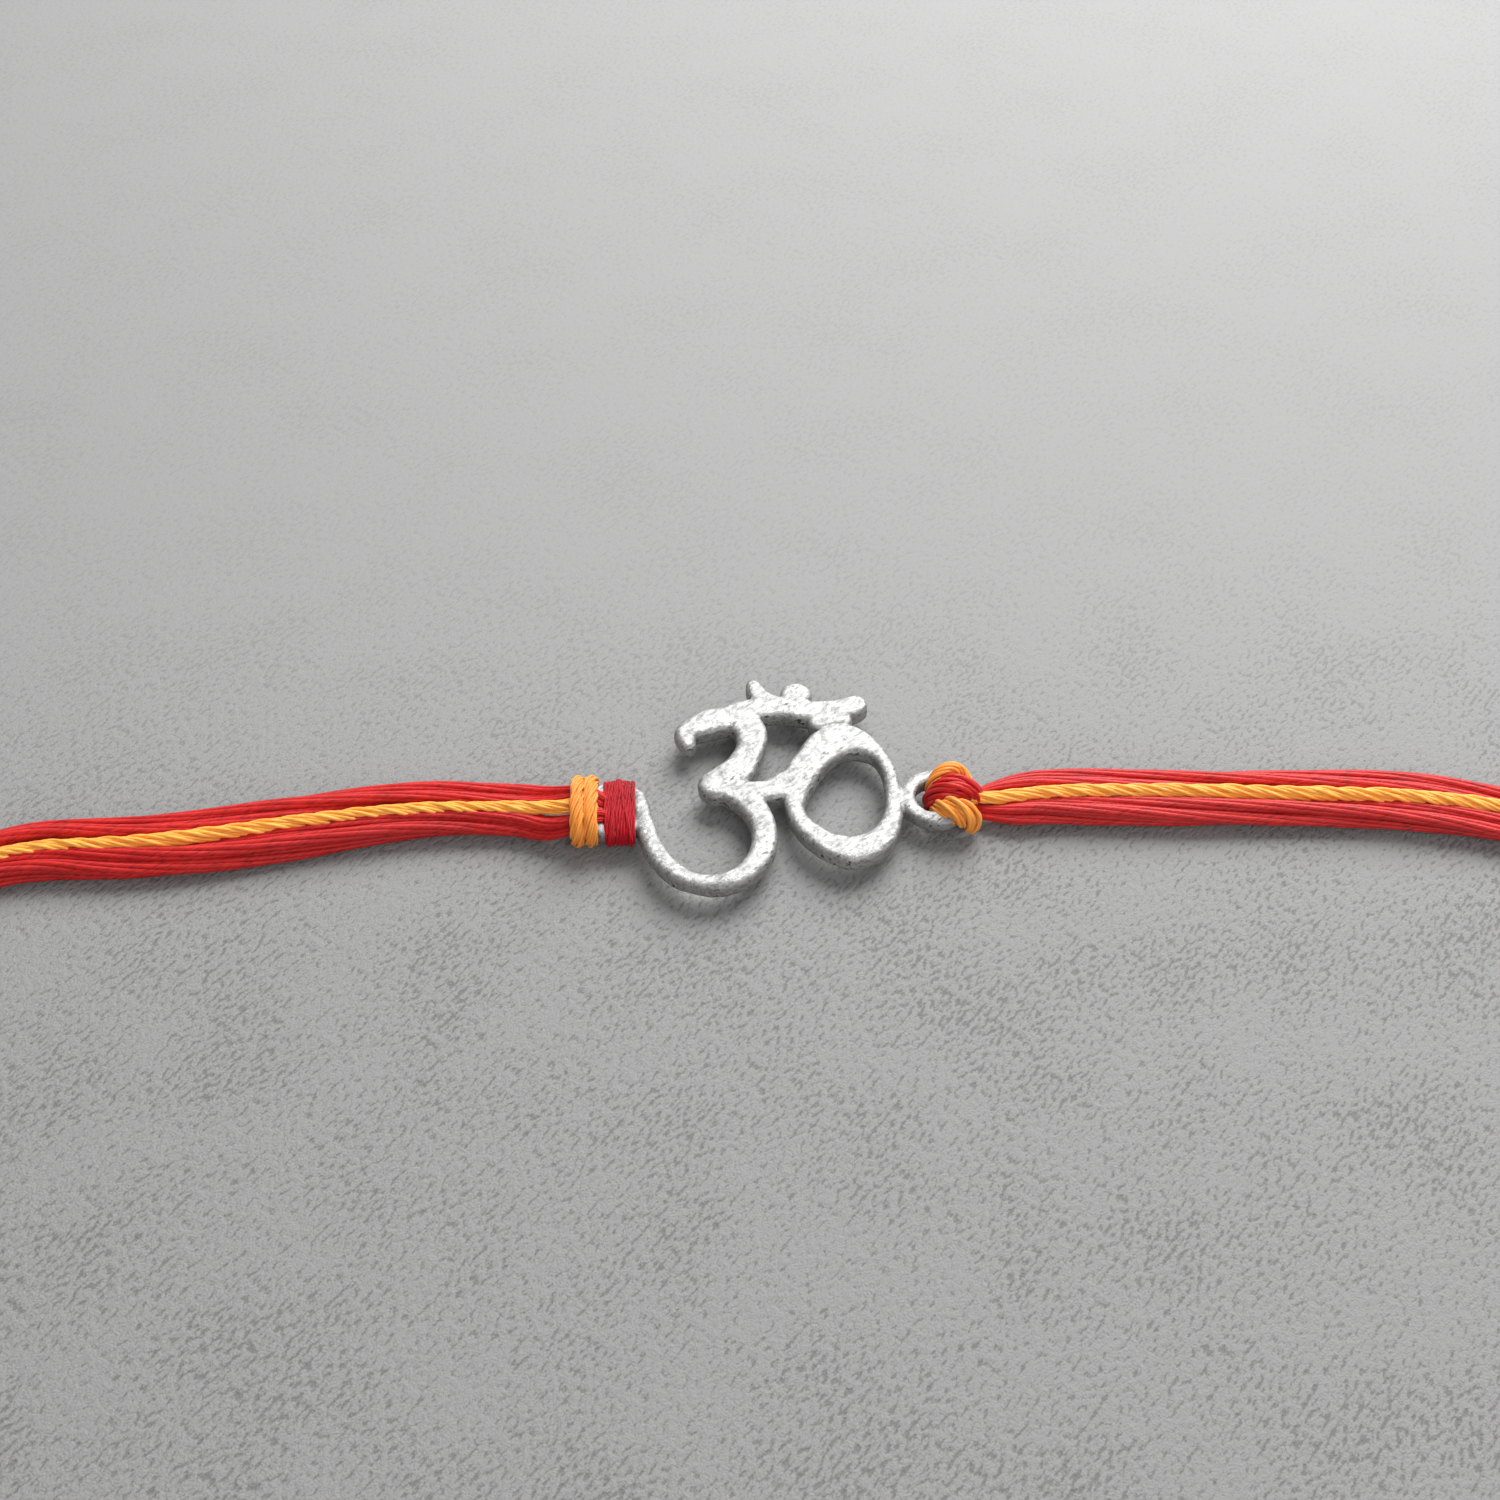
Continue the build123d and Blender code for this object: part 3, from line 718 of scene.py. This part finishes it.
def make_bands(crimson, orange):
    rng = random.Random(7)
    meshes = []
    half_turns = (WINDING_TURNS - 1) / 2
    for i in range(WINDING_TURNS):
        x = WINDING_X + WINDING_WIDTH * ((i + 0.5) / WINDING_TURNS - 0.5)
        edge = abs(i - half_turns) / half_turns
        reach = WINDING_REACH - WINDING_NARROWED * edge
        drop = WINDING_DROP - WINDING_NARROWED * edge
        slant = rng.uniform(-0.10, 0.10)
        bow = rng.uniform(-0.03, 0.03)
        low, high = RING_MIDDLE - drop, RING_MIDDLE + drop
        line = band_loop(x, reach, low, high, *WINDING_THREAD, slant, bow)
        yarns = even_yarns(3, i, 1, WINDING_YARNS)
        meshes.append(lay_yarns("turn", line, yarns, closed=True))
    for x, slant in CROSSING_TURNS:
        line = band_loop(x, 2.90, 0.52, 2.50, 0.32, 0.26, slant)
        yarns = even_yarns(3, 60, 1, WINDING_YARNS)
        meshes.append(lay_yarns("turn", line, yarns, closed=True))
    finish_piece("left_red_winding", meshes, crimson, ["left_red_band"])

    meshes = []
    for i, (x, slant) in enumerate(BIGHT_TURNS):
        line = band_loop(x, 2.50, 0.44, 3.16, 1.10, 0.84, slant, spacing=0.16)
        yarns = even_yarns(5, i * 7.7, 1, BIGHT_YARNS)
        meshes.append(lay_yarns("bight", line, yarns, closed=True, core=0.5))
    finish_piece("left_orange_bight", meshes, orange, ["left_orange_band"])


# Legs of the hitch at the right ring

LEGS = {
    # x, y, z, width, height, from under the wire up out of the hole, over it and down
    "back": [
        (13.10, 0.55, 0.42, 0.70, 0.60), (12.00, 0.52, 0.42, 0.80, 0.66),
        (11.40, 0.62, 0.90, 0.95, 0.85), (11.40, 0.82, 1.55, 1.15, 1.00),
        (11.60, 1.15, 2.20, 1.38, 1.15), (12.35, 1.72, 2.62, 1.50, 1.25),
        (13.20, 2.08, 2.35, 1.50, 1.20), (13.75, 1.80, 1.75, 1.30, 1.10),
        (14.05, 1.20, 1.20, 1.00, 0.95),
    ],
    "middle": [
        (13.20, 0.00, 0.45, 0.90, 0.66), (11.90, 0.00, 0.42, 1.00, 0.70),
        (11.20, 0.00, 0.85, 1.25, 1.00), (11.25, 0.02, 1.55, 1.65, 1.20),
        (11.65, 0.08, 2.30, 2.00, 1.40), (12.70, 0.14, 2.80, 2.35, 1.50),
        (13.70, 0.22, 2.50, 2.25, 1.45), (14.35, 0.20, 1.85, 1.80, 1.25),
        (14.70, 0.10, 1.30, 1.30, 1.00),
    ],
    "front": [
        (13.10, -0.55, 0.42, 0.70, 0.60), (12.00, -0.52, 0.42, 0.80, 0.66),
        (11.45, -0.62, 0.90, 0.95, 0.85), (11.55, -0.84, 1.50, 1.20, 1.00),
        (11.90, -1.30, 2.10, 1.80, 1.28), (12.70, -1.75, 2.42, 2.10, 1.42),
        (13.55, -2.05, 2.08, 2.10, 1.40), (13.95, -2.15, 1.40, 1.80, 1.25),
        (13.90, -2.05, 0.75, 1.25, 0.95),
    ],
}


def make_legs(red, orange):
    for word, material, slot, shape in (
        ("back", orange, "orange_thread", ORANGE_LEG_YARNS),
        ("middle", red, "crimson_thread", RED_LEG_YARNS),
        ("front", orange, "orange_thread", ORANGE_LEG_YARNS),
    ):
        yarns = even_yarns(5, len(word), 3.3, shape)
        mesh = lay_yarns(word, open_line(LEGS[word], 0.15), yarns, core=0.5)
        finish_piece("right_" + word + "_hitch", [mesh], material, ["right_" + word + "_leg"])


# Loose yarn beside the orange thread, next to the left band

def make_loose_yarn(orange):
    control = [
        (-12.6, -0.52, 2.75, 0.40, 0.34), (-13.6, -0.50, 2.35, 0.40, 0.34),
        (-14.6, -0.22, 2.05, 0.38, 0.34), (-15.7, 0.10, 1.80, 0.34, 0.30),
        (-16.9, 0.42, 1.62, 0.28, 0.26), (-18.2, 0.70, 1.50, 0.22, 0.20),
    ]
    yarns = even_yarns(3, 0, 1, LOOSE_YARNS)
    mesh = lay_yarns("loose", open_line(control, 0.25), yarns)
    finish_piece("left_loose_yarn", [mesh], orange)


# Knot and tails

LEFT_TAIL = [(-1.25, -72.86), (-2.09, -79.7), (-5.19, -87.2), (-11.19, -93.0)]
RIGHT_TAIL = [(1.25, -72.86), (1.69, -80.2), (4.29, -88.6), (8.59, -95.6)]


KNOT_Y = -70.0
COIL_APART = 2.15
COIL_HEIGHT = 2.68        # middle of the coils, above the floor
COIL_REACH = (1.98, 1.75)  # along y and up
COIL_LEAN = 0.42
COIL_THREAD = (2.35, 1.75)


def make_knot(red):
    through = [(x, KNOT_Y, 2.3, 4.3, 2.6) for x in (-3.3, -1.4, 0.6, 3.3)]
    meshes = [lay_yarns("through", open_line(through, 0.5), red_yarns(77.0), core=0.75)]
    for i in range(3):
        control = []
        for degrees in range(0, 360, 30):
            turn = math.radians(degrees)
            x = -COIL_APART + COIL_APART * i + COIL_LEAN * math.sin(turn + 0.4)
            y = KNOT_Y + COIL_REACH[0] * math.cos(turn)
            z = COIL_HEIGHT + COIL_REACH[1] * math.sin(turn)
            control.append((x, y, z, *COIL_THREAD))
        yarns = even_yarns(4, 80 + i * 4, 1, COIL_YARNS, turned=i)
        line = closed_line(control, 0.3)
        meshes.append(lay_yarns("coil", line, yarns, closed=True, core=0.55))
    finish_piece("knot_coils", meshes, red, ["closing_knot"])


def make_tails(red):
    for name, points, seed in (("left_tail", LEFT_TAIL, 91.0), ("right_tail", RIGHT_TAIL, 97.0)):
        control = []
        for i, (x, y) in enumerate(points):
            wide = 1.8 if i < len(points) - 1 else 2.1
            control.append((x, y, 0.95, wide, 1.75))
        line = open_line(control, 0.4, (1, 0, 0))
        mesh = lay_yarns(name, line, red_yarns(seed, 30.0), core=0.5)
        finish_piece(name + "_thread", [mesh], red, [name])


# Stage

FLOOR_HALF = 1.6
FLOOR = (0.276, 0.276, 0.275, 1)
# Dark grey of the floor's specks, laid on more thickly towards the front as painted shade
FLOOR_CREASE_AND_SHADE = (0.115, 0.112, 0.110, 1)


def make_stage():
    ground = bmesh.new()
    bmesh.ops.create_grid(ground, x_segments=1, y_segments=1, size=FLOOR_HALF)
    mesh = bpy.data.meshes.new("floor")
    ground.to_mesh(mesh)
    ground.free()
    floor = bpy.data.objects.new("floor", mesh)
    bpy.context.scene.collection.objects.link(floor)
    material, tree, shader = new_material("pale floor", 0.8)
    place = tree.nodes.new("ShaderNodeTexCoord").outputs["Object"]

    def grain(scale, detail, stretch=(1, 1, 1)):
        return turned_noise(tree, place, 0.85, scale, detail, stretch, 0.5)

    creases = grain(3000, 5.0, (1.8, 0.85, 1))
    fine = grain(6500, 3.0)
    cloud = grain(110, 2.0)
    across = tree.nodes.new("ShaderNodeSeparateXYZ")
    tree.links.new(place, across.inputs[0])
    # Painted shade: the specks darken the floor more towards the front, standing in for the window
    # light's falloff; the grain's bumps grow stronger there too
    front_shade_and_grain = ramp(tree, across.outputs[1], (-0.01, 0.035, 1.0, 0.25))
    mask = math_node(tree, "MULTIPLY_ADD", cloud, 0.30, -0.15)
    specks_and_front_shade = ramp(tree, math_node(tree, "ADD", creases, mask), (0.34, 0.50, 1.0, 0.0))
    specks_and_front_shade = math_node(tree, "MULTIPLY", specks_and_front_shade, math_node(tree, "MULTIPLY", front_shade_and_grain, 0.62))
    colour = mix_colour(tree, specks_and_front_shade, FLOOR, FLOOR_CREASE_AND_SHADE)
    tree.links.new(colour, shader.inputs["Base Color"])
    lift = tree.nodes.new("ShaderNodeBump")
    lift.inputs["Strength"].default_value = 0.8
    lift.inputs["Distance"].default_value = 0.00030
    height = math_node(tree, "MULTIPLY_ADD", creases, 0.7, math_node(tree, "MULTIPLY", fine, 0.3))
    height = math_node(tree, "MULTIPLY", height, front_shade_and_grain)
    tree.links.new(height, lift.inputs["Height"])
    tree.links.new(lift.outputs[0], shader.inputs["Normal"])
    mesh.materials.append(material)


def area_light(name, place, aim, size, power):
    light = bpy.data.lights.new(name, "AREA")
    light.shape = "DISK"
    light.size = size
    light.energy = power
    holder = bpy.data.objects.new(name, light)
    holder.location = Vector(place)
    holder.rotation_euler = (Vector(aim) - Vector(place)).to_track_quat("-Z", "Y").to_euler()
    bpy.context.scene.collection.objects.link(holder)


def make_lights():
    area_light("window", (0.11, 0.24, 0.25), (0.02, 0.05, 0), size=0.34, power=2.38)
    area_light("bounce", (0.12, -0.32, 0.24), (0.01, 0, 0), size=0.30, power=0.56)
    world = bpy.data.worlds.new("soft room")
    world.use_nodes = True
    background = world.node_tree.nodes["Background"]
    background.inputs["Color"].default_value = (1, 1, 1, 1)
    background.inputs["Strength"].default_value = 0.36
    bpy.context.scene.world = world
    bpy.context.scene.view_settings.view_transform = "Standard"


place_camera()
yarn = yarn_group()
threads = {name: thread_material(name, yarn, *look) for name, look in THREADS.items()}
make_strands(threads["red thread"], threads["orange thread"])
make_bands(threads["crimson thread"], threads["wound orange thread in painted shade"])
make_legs(threads["red thread"], threads["wound orange thread in painted shade"])
make_loose_yarn(threads["orange thread"])
make_knot(threads["red thread"])
make_tails(threads["red thread"])
make_charm(cast_silver_material())
make_stage()
make_lights()
